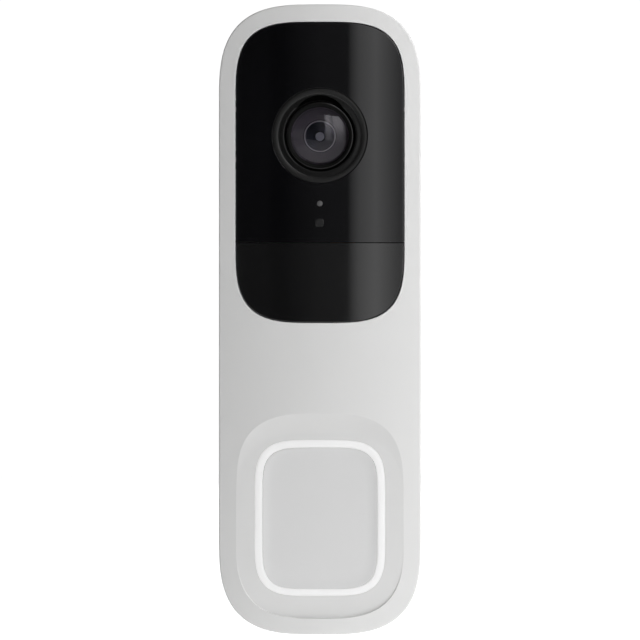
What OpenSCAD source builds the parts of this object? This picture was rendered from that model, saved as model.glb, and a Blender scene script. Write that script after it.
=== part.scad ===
// Video doorbell: a slim wall unit with a camera window, a motion window and a
// bell button in a light ring, hooked onto a screwed-on mounting plate.
// X runs to the right as the visitor sees it, Z up, and the wall is the plane
// Y = 0, so the front faces -Y. Depths are distances from the wall. Millimetres.

/* [Body] */
// Width of the unit
body_w = 48; // [46:0.5:52]
// Height of the unit
body_h = 149.5; // [146:0.5:158]
// Depth from the wall to the crown of the front
body_d = 26; // [26:0.5:30]
// Length that each corner's curve takes along both sides
body_corner = 22.8; // [18:0.2:22.8]
// Squareness of the corner curve, where 2 is a circle
body_square = 3; // [2:0.1:3.6]
// Radius of the front's sideways crown
crown_r = 120; // [100:5:160]
// Thickness of the two shells
wall = 2; // [1.8:0.1:2.2]
// Depth of the line where the shells part
part_d = 15; // [14.8:0.1:15.2]

/* [Window] */
// Width of the black window
window_w = 40.1; // [38:0.1:40.4]
// Height of the black window
window_h = 71.4; // [70:0.1:73]
// Height of the window's middle
window_z = 34.9; // [34:0.1:35.5]
// Height of the seam between camera window and motion lens
seam_z = 18.2; // [17:0.1:19]
// Thickness of the window panels
window_t = 1.5; // [1.2:0.1:1.6]
// Gap round each window panel
window_gap = 0.12; // [0.08:0.02:0.2]

/* [Camera] */
// Height of the lens axis
lens_z = 43.6; // [42:0.1:45]
// Radius of the dished bezel round the lens
bezel_r = 11.3; // [10.8:0.1:11.6]
// Radius of the well inside the bezel
well_r = 8.7; // [8.6:0.05:8.9]
// Radius of the lens barrel's head
head_r = 8.3; // [8.1:0.05:8.4]
// Radius of the front lens
glass_r = 6.8; // [6.2:0.1:7]
// Radius of the front lens's domed face
dome_r = 25; // [18:1:30]
// Radius of the threaded barrel
thread_r = 6; // [5.8:0.1:6]

/* [Button] */
// Height of the middle of the recessed button field
field_z = -46.6; // [-47:0.1:-46]
// Width of the button field
field_w = 39.8; // [38:0.1:40]
// Height of the button field
field_h = 48.7; // [47:0.1:49]
// Depth of the button field at its middle
field_d = 24.75; // [24.5:0.05:24.8]
// Height of the button's middle
button_z = -47.2; // [-47.6:0.1:-47]
// Outer width of the light ring
ring_w = 31; // [30.6:0.1:31]
// Outer height of the light ring
ring_h = 37.2; // [36.8:0.1:37.2]
// Width of the ring's lit face
ring_band = 1.8; // [1.6:0.1:2]
// Travel of the button
button_travel = 0.6; // [0.3:0.1:0.6]

/* [Wall plate] */
// Thickness of the mounting plate
plate_t = 2.6; // [2.4:0.1:2.6]
// Distance between the two wall screws
wall_screw_pitch = 100; // [98:1:102]
// Radius of the wall screw holes
wall_screw_r = 2.2; // [2:0.1:2.4]
// How far the unit lifts to come off its hooks
lift = 6; // [5:0.5:6]

/* [Hidden] */
$fn = 64;
eps = 0.01;
gap = 0.05;

// Outlines
window_corner = 18.8;
window_square = 3.4;
field_corner = 19.2;
field_square = 3;
ring_corner = 13.8;
ring_square = 3.6;
hole_corner = 12.1;
hole_square = 4;
corner_steps = 12;

// Front surfaces
field_r = 4 * crown_r;
window_ledge = 1.6;
window_frame_d = 21.2;
field_back_d = 22.4;

// Rear housing
skirt_d = 0.4;
skirt_t = 1.7;
floor_back_d = 2.8;
floor_d = floor_back_d + wall;
cavity_w = body_w - 2 * wall;
cavity_h = body_h - 2 * wall;
seal_t = 1;
seal_depth = 0.75;

// Screws that close the two shells: one pair at the top, middle and bottom
case_screws = [[18.7, 58], [18.7, -12], [12, -70]];
case_post_r = [3.4, 3.4, 2.7];
case_screw_r = 1.2;
case_head_r = 2.1;
case_head_t = 1.8;
case_head_d = 10;
case_screw_end_d = 20.5;
case_boss_end_d = 22.4;

// Hooks of the rear housing and their slots in the plate
hooks = [[15.5, 44], [15.5, -34]];
hook_w = 3;
hook_foot_w = 6;
hook_h = 2.4;
hook_foot_d = 1.2;
hook_play = 0.3;
hook_pocket_d = 1.4;

// Mounting plate
plate_play = 0.7;
plate_w = body_w - 2 * skirt_t - 2 * plate_play;
plate_h = body_h - 2 * skirt_t - 2 * plate_play;
cable_w = 26;
cable_z = [2, 30];
countersink_r = 4.2;
countersink_d = 1;

// Security screw, its lug on the plate and the pocket round the lug
lug_w = 8;
lug_t = 3;
lug_top_z = -61;
lug_d = 8.6;
screw_d = 6;
security_r = 1.5;
security_head_r = 2.75;
security_head_t = 1.5;
pocket_w = 10;
pocket_wall = 1.2;
pocket_d = 9.2;
pocket_floor_z = -71.6;
pocket_top_z = lug_top_z + 0.4;

// Tamper switch on the plate's ramp
tamper_z = 62;
tamper_r = 1.5;
tamper_tip_d = 1.88;
ramp_slope = 0.25;
tamper_block = 7;
tamper_block_d = 10.5;

// Parts on the back, reached through the plate's cable opening
port_z = 11.5;
power_x = -10.5;
power_r = 2.2;
power_travel = 0.4;
usb_w = 8.9;
usb_h = 3.2;
usb_wall = 0.4;
usb_flange = 1.4;
terminal_z = 21;
terminal_x = 4;
terminal_w = 16;
terminal_h = 7;
terminal_screw_r = 2.3;

// Main board and what stands on it
board_d = 13.8;
board_t = 1.2;
board_front_d = board_d + board_t;
board_w = 29;
board_z = [-58, 26];
board_tail_w = 18;
board_tail_z = -72;
board_screws = [[12.3, 23.5], [-12.3, 23.5], [0, -54]];
small_screw_r = 0.9;
small_head_r = 1.9;
small_head_t = 1.2;
post_r = 2.2;
motion_z = 8.7;

// Battery pack
battery_w = 29;
battery_t = 7;
battery_z = [-48.5, 5.5];
battery_lead_r = 0.6;
battery_plug_x = 10.5;

// Camera stack, from the rear board to the glass
camera_board_d = 8.4;
camera_board_t = 1;
camera_board_w = 28;
camera_post_x = 11.6;
camera_post_dz = 11.6;
holder_w = 15;
holder_end_d = 18;
barrel_start_d = 12;
head_start_d = 18.9;
head_end_d = 23.8;
glass_start_d = 20.6;
dome_apex_d = 24.3;
inner_r = 3.7;
pupil_r = 1.2;
bezel_front_d = 25.6;
bezel_lip_r = 10;
bezel_cone_d = 25;
bezel_rim_d = 24.2;
bezel_tube_d = 20.1;
bezel_tube_t = 1;
bezel_flange = 1.2;
relief_r = 6.45;
relief_rise = 3.2;
relief_d = 22;
bezel_flange_d = 22.8;

// Board behind the window
ir_board_d = 19;
ir_board_t = 1;
ir_board_w = 29.6;
ir_board_z = [20.4, 67];
ir_led_x = 12;
ir_led_dz = 13.5;
ir_screw_x = 19.3;
ir_screw_z = [38, 50];
status_z = 27.5;
status_r = 0.65;
sensor_window_z = 22.9;
sensor_window_w = 1.8;
guide_flange = 0.8;
guide_flange_t = 0.6;

// Bell button stack, from its board to the face
button_board_d = 16.4;
button_board_t = 1;
button_front_d = button_board_d + button_board_t;
button_board_w = 42.4;
button_board_h = 39.6;
button_screw_x = 19.4;
button_screw_dz = 10;
frame_end_d = 20.8;
ring_back_d = 18.7;
ring_flange_d = [20.85, 21.85];
ring_flange = 1.5;
cap_gap = 0.15;
cap_plate_d = 22.4;
cap_skirt_d = 20;
cap_skirt_t = 1.2;
cap_dish_d = 24.5;
cap_dish_rim = 1.9;
tab_t = 0.9;
tab_h = 10;
tab_reach = 1.5;
post_actuator_r = 2;
switch_w = 6.2;
switch_end_d = 19;
plunger_r = 1.6;
plunger_top_d = 19.6;
plunger_t = 0.9;

// Speaker behind the grille in the left side wall
speaker_x = [-20.5, -16.5];
speaker_z = [-62, -46];
speaker_d = [5.2, 13.2];
grille_slots = 7;
grille_pitch = 2;
grille_slot_h = 1;
grille_d = [6, 12];

// Microphone at the bottom
mic_x = 3;
mic_z = -69;
mic_port_r = 0.6;
mic_port_d = 12.4;

// A rounded rectangle whose corners are superellipses. Corner points are spaced
// evenly by angle round each corner's centre.
function reach(angle, square) =
    1 / pow(pow(cos(angle), square) + pow(sin(angle), square), 1 / square);
function corner_point(angle, length, square) =
    length * reach(angle, square) * [cos(angle), sin(angle)];
function outline_points(w, h, corner, square) =
    let (middle = [w / 2 - corner, h / 2 - corner])
    [
        for (quarter = [0:3])
            for (i = [0:corner_steps])
                let (
                    turn = quarter % 2 == 0 ? i : corner_steps - i,
                    p = middle + corner_point(turn * 90 / corner_steps, corner, square)
                )
                [(quarter == 0 || quarter == 3 ? 1 : -1) * p[0], (quarter < 2 ? 1 : -1) * p[1]]
    ];

module outline(w, h, corner, square) {
    polygon(outline_points(w, h, corner, square));
}

// A flat shape in X and Z, standing between two depths from the wall.
module slab(from_d, to_d) {
    translate([0, -from_d, 0]) rotate([90, 0, 0]) linear_extrude(to_d - from_d) children();
}

// A box given by its X, Z and depth ranges.
module block(x, z, d) {
    translate([x[0], -d[1], z[0]]) cube([x[1] - x[0], d[1] - d[0], z[1] - z[0]]);
}

// A round bar along the depth, at one X and Z.
module bar(x, z, r, from_d, to_d) {
    translate([x, -from_d, z]) rotate([90, 0, 0]) cylinder(r = r, h = to_d - from_d);
}

// A cone along the depth.
module cone(x, z, r_from, r_to, from_d, to_d) {
    translate([x, -from_d, z]) rotate([90, 0, 0]) cylinder(r1 = r_from, r2 = r_to, h = to_d - from_d);
}

// The solid behind a front that is curved sideways, with its crown at a depth.
module crown(r, d) {
    translate([0, r - d, -body_h]) cylinder(r = r, h = 2 * body_h, $fn = 256);
}

// Children repeated at the same height on both sides.
module both_sides(x) {
    for (side = [-1, 1]) translate([side * x, 0, 0]) children();
}

module body_outline(inset = 0) {
    outline(body_w - 2 * inset, body_h - 2 * inset, body_corner - inset, body_square);
}

module window_outline(grow = 0) {
    translate([0, window_z])
        outline(window_w + 2 * grow, window_h + 2 * grow, window_corner + grow, window_square);
}

module field_outline(grow = 0) {
    translate([0, field_z])
        outline(field_w + 2 * grow, field_h + 2 * grow, field_corner + grow, field_square);
}

module ring_outline(grow = 0) {
    translate([0, button_z])
        outline(ring_w + 2 * grow, ring_h + 2 * grow, ring_corner + grow, ring_square);
}

module hole_outline(grow = 0) {
    translate([0, button_z])
        outline(
            ring_w - 2 * ring_band + 2 * grow, ring_h - 2 * ring_band + 2 * grow,
            hole_corner + grow, hole_square
        );
}

module button_board_outline() {
    translate([0, button_z]) outline(button_board_w, button_board_h, 12, 3);
}

// Moulded plate screwed to the wall, with the hooks' slots, the tamper switch's
// ramp, the cable opening and the lug for the security screw. It stops short of
// the skirt's lower edge so that the unit can lift.
module mounting_plate() {
    color("#d9d9d6") difference() {
        union() {
            slab(0, plate_t) translate([0, lift / 2])
                outline(plate_w, plate_h - lift, body_corner - skirt_t - plate_play, body_square);
            block([-lug_w / 2, lug_w / 2], [lug_top_z - lug_t, lug_top_z], [plate_t - eps, lug_d]);
        }
        slab(-eps, plate_t + eps) translate([0, (cable_z[0] + cable_z[1]) / 2])
            outline(cable_w, cable_z[1] - cable_z[0], 6, 2);
        for (side = [-1, 1]) {
            bar(0, side * wall_screw_pitch / 2, wall_screw_r, -eps, plate_t + eps);
            cone(0, side * wall_screw_pitch / 2, wall_screw_r, countersink_r, countersink_d, plate_t + eps);
        }
        for (hook = hooks) both_sides(hook[0]) hook_slot(hook[1]);
        tamper_ramp();
        translate([0, -screw_d, lug_top_z - lug_t - eps])
            cylinder(r = security_r + 0.1, h = lug_t + 2 * eps);
    }
}

module hook_slot(z) {
    low = z - hook_h / 2 - hook_play;
    high = z + lift + hook_h / 2 + hook_play;
    entry = high - hook_h - 2 * hook_play;
    foot = hook_foot_w / 2 + hook_play;
    stem = hook_w / 2 + hook_play;
    block([-stem, stem], [low, high], [-eps, plate_t + eps]);
    block([-foot, foot], [entry, high], [-eps, plate_t + eps]);
    block([-foot, foot], [low, high], [-eps, hook_pocket_d]);
}

// The groove that lets the tamper switch's tip out as the unit lifts.
module tamper_ramp() {
    start_z = tamper_z - tamper_r - 1;
    end_z = tamper_z + lift + tamper_r + 1;
    shallow_d = plate_t - 0.2;
    run = end_z - start_z;
    half_w = tamper_r + 0.4;
    translate([-half_w, 0, 0]) rotate([90, 0, 90]) linear_extrude(2 * half_w)
        polygon([
            [-plate_t - eps, start_z],
            [-shallow_d, start_z],
            [-shallow_d + ramp_slope * run, end_z],
            [-plate_t - eps, end_z]
        ]);
}

// Rear shell: skirt round the plate, floor, screw posts and hooks.
module rear_housing() {
    color("#e4e4e2") difference() {
        union() {
            difference() {
                slab(skirt_d, part_d) body_outline();
                slab(floor_d, part_d + eps) body_outline(wall);
                slab(0, floor_back_d) body_outline(skirt_t);
            }
            for (i = [0:len(case_screws) - 1]) both_sides(case_screws[i][0])
                bar(0, case_screws[i][1], case_post_r[i], floor_d - eps, part_d);
            for (p = board_screws) bar(p[0], p[1], post_r, floor_d - eps, board_d);
            for (up = [-1, 1]) both_sides(camera_post_x)
                bar(0, lens_z + up * camera_post_dz, post_r, floor_d - eps, camera_board_d);
            block(
                [-pocket_w / 2 - pocket_wall, pocket_w / 2 + pocket_wall],
                [-body_h / 2 + wall / 2, pocket_top_z + pocket_wall],
                [floor_d - eps, pocket_d + pocket_wall]
            );
            for (hook = hooks) both_sides(hook[0]) rear_hook(hook[1]);
            speaker_seat();
        }
        for (p = case_screws) both_sides(p[0]) {
            bar(0, p[1], case_screw_r + 0.2, floor_back_d - eps, part_d + eps);
            bar(0, p[1], case_head_r + 0.3, floor_back_d - eps, case_head_d);
        }
        for (p = board_screws) bar(p[0], p[1], small_screw_r + gap, board_d - 6, board_d + eps);
        for (up = [-1, 1]) both_sides(camera_post_x)
            bar(0, lens_z + up * camera_post_dz, small_screw_r + gap, floor_d + 0.2, camera_board_d + eps);
        block(
            [-pocket_w / 2, pocket_w / 2], [pocket_floor_z, pocket_top_z],
            [floor_back_d - eps, pocket_d]
        );
        security_screw_hole();
        bar(0, tamper_z, tamper_r + 0.1, floor_back_d - eps, floor_d + eps);
        bar(power_x, port_z, power_r + 0.15, floor_back_d - eps, floor_d + eps);
        slab(floor_back_d - eps, floor_d + eps) translate([0, port_z]) usb_outline(0.1);
        slab(floor_back_d - eps, floor_back_d + 1) translate([0, port_z]) usb_outline(usb_flange + 0.1);
        block(
            [-terminal_w / 2 - 0.1, terminal_w / 2 + 0.1],
            [terminal_z - terminal_h / 2 - 0.1, terminal_z + terminal_h / 2 + 0.1],
            [floor_back_d - eps, floor_d + eps]
        );
        seal_groove();
        speaker_grille();
        translate([mic_x, -mic_port_d, -body_h / 2 - eps]) cylinder(r = mic_port_r, h = wall + 1);
    }
}

module rear_hook(z) {
    block([-hook_w / 2, hook_w / 2], [z - hook_h / 2, z + hook_h / 2], [skirt_d, floor_back_d + eps]);
    block(
        [-hook_foot_w / 2, hook_foot_w / 2], [z - hook_h / 2, z + hook_h / 2],
        [skirt_d, hook_foot_d]
    );
}

module security_screw_hole() {
    translate([0, -screw_d, -body_h / 2 - eps]) {
        cylinder(r = security_r + 0.15, h = 10);
        cylinder(r = security_head_r + 0.2, h = security_head_t + 0.1 + eps);
    }
}

module seal_groove() {
    slab(part_d - seal_depth, part_d + eps) difference() {
        body_outline(wall / 2 - seal_t / 2);
        body_outline(wall / 2 + seal_t / 2);
    }
}

// Ribs that hold the speaker against the side wall.
module speaker_seat() {
    height = [floor_d - eps, speaker_d[0] + 4];
    back_x = speaker_x[1] + 0.1;
    block([-cavity_w / 2 - 0.2, back_x + 1.2], [speaker_z[0] - 1.3, speaker_z[0] - 0.1], height);
    block([-cavity_w / 2 - 0.2, back_x + 1.2], [speaker_z[1] + 0.1, speaker_z[1] + 1.3], height);
    block([back_x, back_x + 1.2], [speaker_z[0] - 1.3, speaker_z[1] + 1.3], height);
    block([speaker_x[0] + 1, back_x + 0.2], speaker_z, [floor_d - eps, speaker_d[0]]);
}

module speaker_grille() {
    middle = (speaker_z[0] + speaker_z[1]) / 2;
    for (i = [0:grille_slots - 1]) {
        z = middle + (i - (grille_slots - 1) / 2) * grille_pitch;
        block(
            [-body_w / 2 - 1, speaker_x[0] - 0.2],
            [z - grille_slot_h / 2, z + grille_slot_h / 2], grille_d
        );
    }
}

// Front shell: crowned face with the window's rebate and the recessed button field.
module front_cover() {
    color("#e8e8e6") difference() {
        union() {
            difference() {
                intersection() {
                    slab(part_d, body_d + 1) body_outline();
                    crown(crown_r, body_d);
                }
                intersection() {
                    slab(part_d - eps, body_d + 1) body_outline(wall);
                    crown(crown_r - wall, body_d - wall);
                }
                slab(part_d + 1, body_d + 1) window_outline(-window_ledge);
            }
            intersection() {
                slab(field_back_d, body_d) field_outline(1.2);
                crown(crown_r, body_d);
            }
            intersection() {
                slab(window_frame_d, body_d) difference() {
                    window_outline(1.2);
                    window_outline(-window_ledge);
                }
                crown(crown_r, body_d);
            }
            for (z = ir_screw_z) both_sides(ir_screw_x)
                bar(0, z, post_r - 0.3, ir_board_d + ir_board_t + gap, window_frame_d + 1.4);
            for (i = [0:len(case_screws) - 1]) both_sides(case_screws[i][0])
                bar(0, case_screws[i][1], case_post_r[i], part_d, case_boss_end_d + 0.2);
            for (up = [-1, 1]) both_sides(button_screw_x)
                bar(0, button_z + up * button_screw_dz, post_r, frame_end_d + gap, field_back_d + 0.1);
        }
        difference() {
            slab(part_d + 1, body_d + 1) window_outline(window_gap);
            crown(crown_r - window_t - gap, body_d - window_t - gap);
        }
        difference() {
            slab(part_d + 1, body_d + 1) field_outline();
            crown(field_r, field_d);
        }
        slab(part_d + 1, body_d + 1) ring_outline(gap);
        for (p = case_screws) both_sides(p[0])
            bar(0, p[1], case_screw_r + gap, part_d - eps, case_screw_end_d + 0.3);
        for (up = [-1, 1]) both_sides(button_screw_x)
            bar(0, button_z + up * button_screw_dz, small_screw_r + gap, frame_end_d, field_back_d - 0.1);
        for (z = ir_screw_z) both_sides(ir_screw_x)
            bar(0, z, small_screw_r + gap, ir_board_d, window_frame_d + 0.8);
    }
}

// Silicone cord in the groove between the two shells.
module perimeter_seal() {
    color("#6b6f72") slab(part_d - seal_depth + gap, part_d) difference() {
        body_outline(wall / 2 - seal_t / 2 + gap);
        body_outline(wall / 2 + seal_t / 2 - gap);
    }
}

module housing_screws() {
    color("#8f9294") for (p = case_screws) both_sides(p[0]) {
        bar(0, p[1], case_head_r, case_head_d - case_head_t, case_head_d);
        bar(0, p[1], case_screw_r, case_head_d, case_screw_end_d);
    }
}

module security_screw() {
    head_z = -body_h / 2 + security_head_t + 0.1;
    color("#8f9294") translate([0, -screw_d, 0]) difference() {
        union() {
            translate([0, 0, head_z - security_head_t])
                cylinder(r = security_head_r, h = security_head_t);
            translate([0, 0, head_z]) cylinder(r = security_r, h = lug_top_z - head_z + 0.2);
        }
        translate([0, 0, head_z - security_head_t - eps]) cylinder(r = 1.1, h = 1, $fn = 6);
    }
}

module window_panel() {
    difference() {
        intersection() {
            slab(part_d + 1, body_d + 1) window_outline();
            crown(crown_r, body_d);
        }
        crown(crown_r - window_t, body_d - window_t);
    }
}

// Gloss black upper panel, with the bezel's hole and two small round ports.
module camera_window() {
    color("#0c0c0d") difference() {
        window_panel();
        block([-body_w, body_w], [-body_h, seam_z + gap], [0, body_d + 1]);
        bar(0, lens_z, bezel_r + gap, 0, body_d + 1);
        bar(0, status_z, status_r + gap, 0, body_d + 1);
        slab(0, body_d + 1) translate([0, sensor_window_z])
            outline(sensor_window_w + 2 * gap, sensor_window_w + 2 * gap, sensor_window_w / 2, 3);
    }
}

// Infrared-clear lower panel over the motion sensor.
module motion_lens() {
    color("#141415") difference() {
        window_panel();
        block([-body_w, body_w], [seam_z - gap, body_h], [0, body_d + 1]);
    }
}

// Dished ring that lets the lens see past the window, with a relief at its top
// for the upper edge of the picture.
module lens_bezel() {
    color("#222224") difference() {
        union() {
            intersection() {
                bar(0, lens_z, bezel_r, bezel_rim_d - 1.2, bezel_front_d + 1);
                crown(crown_r, body_d - 0.05);
            }
            intersection() {
                bar(0, lens_z, bezel_r + bezel_flange, bezel_flange_d, bezel_rim_d);
                crown(crown_r - window_t - gap, body_d - window_t - gap);
            }
            bar(0, lens_z, well_r + bezel_tube_t, bezel_tube_d, bezel_rim_d);
        }
        bar(0, lens_z, well_r, bezel_tube_d - eps, body_d + 1);
        cone(0, lens_z, well_r, bezel_lip_r, bezel_cone_d, bezel_front_d);
        bar(0, lens_z, bezel_lip_r, bezel_front_d - eps, body_d + 1);
        bar(0, lens_z + relief_rise, relief_r, relief_d, body_d + 1);
    }
}

module lens_seal() {
    color("#1a1a1a") difference() {
        bar(0, lens_z, well_r - gap, 21, 22);
        bar(0, lens_z, head_r + gap, 20.9, 22.1);
    }
}

// Barrel: wide head with the front glass, threaded tail in the holder.
module lens_barrel() {
    color("#18181a") difference() {
        union() {
            bar(0, lens_z, head_r, head_start_d, head_end_d);
            bar(0, lens_z, thread_r, barrel_start_d, head_start_d);
        }
        bar(0, lens_z, glass_r + gap, glass_start_d - gap, head_end_d + eps);
        bar(0, lens_z, inner_r + gap, barrel_start_d + 1, head_end_d);
        bar(0, lens_z, inner_r - 0.5, barrel_start_d - eps, barrel_start_d + 2);
    }
}

module front_lens() {
    color("#3a3842") intersection() {
        bar(0, lens_z, glass_r, glass_start_d, dome_apex_d + 1);
        translate([0, -(dome_apex_d - dome_r), lens_z]) sphere(r = dome_r, $fn = 128);
    }
}

module inner_lens() {
    color("#4a4956") bar(0, lens_z, inner_r, 18, 20.2);
}

module aperture_stop() {
    color("#101010") difference() {
        bar(0, lens_z, inner_r, 17, 17.9);
        bar(0, lens_z, pupil_r, 16.9, 18);
    }
}

module rear_lens() {
    color("#4a4956") bar(0, lens_z, inner_r - 0.1, 14, 16.8);
}

module lens_holder() {
    color("#202022") difference() {
        slab(camera_board_d + camera_board_t, holder_end_d) translate([0, lens_z])
            outline(holder_w, holder_w, 2, 2);
        bar(0, lens_z, thread_r + gap, camera_board_d, holder_end_d + eps);
    }
}

module image_sensor() {
    front = camera_board_d + camera_board_t;
    color("#5a5f6a") block([-3.5, 3.5], [lens_z - 3.5, lens_z + 3.5], [front, front + 1.1]);
}

module camera_board() {
    color("#1f5a3a") difference() {
        block(
            [-camera_board_w / 2, camera_board_w / 2],
            [lens_z - camera_board_w / 2, lens_z + camera_board_w / 2],
            [camera_board_d, camera_board_d + camera_board_t]
        );
        for (up = [-1, 1]) both_sides(camera_post_x)
            bar(0, lens_z + up * camera_post_dz, small_screw_r + gap, camera_board_d - 1, 10);
    }
}

module camera_screws() {
    front = camera_board_d + camera_board_t;
    color("#8f9294") for (up = [-1, 1]) both_sides(camera_post_x) {
        bar(0, lens_z + up * camera_post_dz, small_head_r, front, front + small_head_t);
        bar(0, lens_z + up * camera_post_dz, small_screw_r, floor_d + 0.4, front);
    }
}

// Flat flexible cable from the camera board down to the main board.
module camera_flex() {
    flex_t = 0.15;
    x = [2.5, 8.5];
    turn_z = board_z[1] + 0.4;
    color("#c98a2c") {
        block(x, [turn_z, 33.5], [camera_board_d - flex_t, camera_board_d]);
        block(x, [turn_z, turn_z + flex_t], [camera_board_d, board_front_d + flex_t]);
        block(x, [18, turn_z + flex_t], [board_front_d, board_front_d + flex_t]);
    }
}

// Board behind the window, with the lens's hole.
module infrared_board() {
    color("#1f5a3a") difference() {
        union() {
            block(
                [-ir_board_w / 2, ir_board_w / 2], ir_board_z,
                [ir_board_d, ir_board_d + ir_board_t]
            );
            for (z = ir_screw_z) block(
                [-ir_screw_x - 1.8, ir_screw_x + 1.8], [z - 2.2, z + 2.2],
                [ir_board_d, ir_board_d + ir_board_t]
            );
        }
        bar(0, lens_z, head_r + 0.6, ir_board_d - 1, ir_board_d + 2);
        for (z = ir_screw_z) both_sides(ir_screw_x)
            bar(0, z, small_screw_r + gap, ir_board_d - 1, ir_board_d + 2);
    }
}

module infrared_screws() {
    color("#8f9294") for (z = ir_screw_z) both_sides(ir_screw_x) {
        bar(0, z, small_head_r - 0.1, ir_board_d - small_head_t, ir_board_d);
        bar(0, z, small_screw_r, ir_board_d, window_frame_d + 0.6);
    }
}

module infrared_leds() {
    base = ir_board_d + ir_board_t;
    color("#d8d8c8") for (up = [-1, 1]) both_sides(ir_led_x) {
        block(
            [-1.75, 1.75],
            [lens_z + up * ir_led_dz - 1.75, lens_z + up * ir_led_dz + 1.75],
            [base, base + 0.8]
        );
        translate([0, -base - 0.8, lens_z + up * ir_led_dz]) intersection() {
            sphere(r = 1.4);
            translate([-2, -2, -2]) cube([4, 2, 4]);
        }
    }
}

module status_light_guide() {
    back = body_d - window_t - 0.1;
    color("#c9c9c9") {
        intersection() {
            bar(0, status_z, status_r, back - eps, body_d + 1);
            crown(crown_r, body_d);
        }
        bar(0, status_z, status_r + guide_flange, back - guide_flange_t, back);
        bar(0, status_z, status_r, ir_board_d + ir_board_t + 0.8, back - guide_flange_t + eps);
    }
}

module status_led() {
    base = ir_board_d + ir_board_t;
    color("#e9e6d4") block([-0.8, 0.8], [status_z - 0.8, status_z + 0.8], [base, base + 0.7]);
}

module light_sensor_window() {
    back = body_d - window_t - 0.1;
    color("#2c2c2e") {
        intersection() {
            slab(back - eps, body_d + 1) translate([0, sensor_window_z])
                outline(sensor_window_w, sensor_window_w, sensor_window_w / 2 - gap, 3);
            crown(crown_r, body_d);
        }
        bar(0, sensor_window_z, 1.9, back - guide_flange_t, back);
    }
}

module light_sensor() {
    base = ir_board_d + ir_board_t;
    color("#2a2a2a") block([-1, 1], [sensor_window_z - 1, sensor_window_z + 1], [base, base + 0.7]);
}

// Metal-can heat sensor standing on the main board.
module motion_sensor() {
    color("#b9b9b4") difference() {
        union() {
            bar(0, motion_z, 4.6, board_front_d, board_front_d + 0.6);
            bar(0, motion_z, 4.1, board_front_d + 0.5, board_front_d + 4.2);
        }
        block(
            [-2, 2], [motion_z - 1.5, motion_z + 1.5],
            [board_front_d + 3.9, board_front_d + 5]
        );
    }
}

module main_board() {
    color("#1f5a3a") difference() {
        union() {
            block([-board_w / 2, board_w / 2], board_z, [board_d, board_front_d]);
            block(
                [-board_tail_w / 2, board_tail_w / 2], [board_tail_z, board_z[0] + 1],
                [board_d, board_front_d]
            );
        }
        for (p = board_screws) bar(p[0], p[1], small_screw_r + gap, board_d - 1, board_front_d + 1);
    }
}

module board_screws() {
    color("#8f9294") for (p = board_screws) {
        bar(p[0], p[1], small_head_r, board_front_d, board_front_d + small_head_t);
        bar(p[0], p[1], small_screw_r, board_d - 5.5, board_front_d);
    }
}

module processor_shield() {
    color("#b4b6b8") block([-11, 11], [-24, 0], [board_front_d, board_front_d + 1.2]);
}

module supply_capacitors() {
    color("#3b3b44") both_sides(10) bar(0, motion_z - 2, 3.15, board_front_d, board_front_d + 5.4);
}

// Antenna strip under the top wall of the front shell.
module wifi_antenna() {
    top = body_h / 2 - wall - 0.4;
    color("#2b2b2b") block([-9, 9], [top - 0.7, top], [16, 21]);
}

module microphone() {
    color("#a8a49a") block([mic_x - 1.5, mic_x + 1.5], [mic_z - 1.9, mic_z + 1.9], [board_d - 1, board_d]);
}

// Soft boot that leads sound from the port to the microphone.
module microphone_boot() {
    boot_x = [mic_x - 2.3, mic_x + 2.3];
    color("#2e2e30") difference() {
        block(boot_x, [-body_h / 2 + wall + 0.1, mic_z + 2.6], [pocket_d + pocket_wall + gap, board_d]);
        block(
            [mic_x - 1.5 - gap, mic_x + 1.5 + gap], [mic_z - 1.9 - gap, mic_z + 1.9 + gap],
            [board_d - 1 - gap, board_d + eps]
        );
        translate([mic_x, -mic_port_d, -body_h / 2]) cylinder(r = mic_port_r, h = body_h / 2 + mic_z);
    }
}

module speaker() {
    color("#303034") {
        block(speaker_x + [0.8, 0], speaker_z, speaker_d);
        block(
            speaker_x + [0, -3], speaker_z + [1.5, -1.5], speaker_d + [1.2, -1.2]
        );
    }
}

module speaker_gasket() {
    x = [-body_w / 2, speaker_x[0] + 0.75];
    color("#454548") intersection() {
        slab(speaker_d[0], speaker_d[1]) body_outline(wall + 0.02);
        difference() {
            block(x, speaker_z + [0.5, -0.5], speaker_d + [0.2, -0.2]);
            block(x + [-1, 1], speaker_z + [1.45, -1.45], speaker_d + [1.15, -1.15]);
        }
    }
}

module battery_pack() {
    color("#7f8fa6") slab(floor_d + 0.2, floor_d + 0.2 + battery_t)
        translate([0, (battery_z[0] + battery_z[1]) / 2])
            outline(battery_w, battery_z[1] - battery_z[0], 2, 2);
}

module battery_tape() {
    color("#3a3a3a") for (z = [battery_z[0] + 10, battery_z[1] - 10])
        block([-11, 11], [z - 4, z + 4], [floor_d, floor_d + 0.2]);
}

module battery_socket() {
    color("#e8e2d0") block(
        [battery_plug_x - 3, battery_plug_x + 3], [port_z - 2, port_z + 2.5], [9.6, board_d]
    );
}

module battery_leads() {
    color("#b03028") for (side = [-0.8, 0.8])
        translate([battery_plug_x + side, -10.8, battery_z[1]])
            cylinder(r = battery_lead_r, h = port_z - 2 - battery_z[1]);
}

// Moving cap: dished face, skirt, two side tabs and the actuator post.
module button_cap() {
    color("#dedede") {
        difference() {
            intersection() {
                slab(cap_skirt_d, body_d) hole_outline(-cap_gap);
                crown(field_r, field_d - gap);
            }
            slab(cap_skirt_d - eps, cap_plate_d) hole_outline(-cap_gap - cap_skirt_t);
            slab(cap_dish_d, body_d) hole_outline(-cap_gap - cap_dish_rim);
        }
        both_sides(0) cap_tab();
        bar(0, button_z, post_actuator_r, plunger_top_d + gap, cap_plate_d + eps);
    }
}

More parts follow.
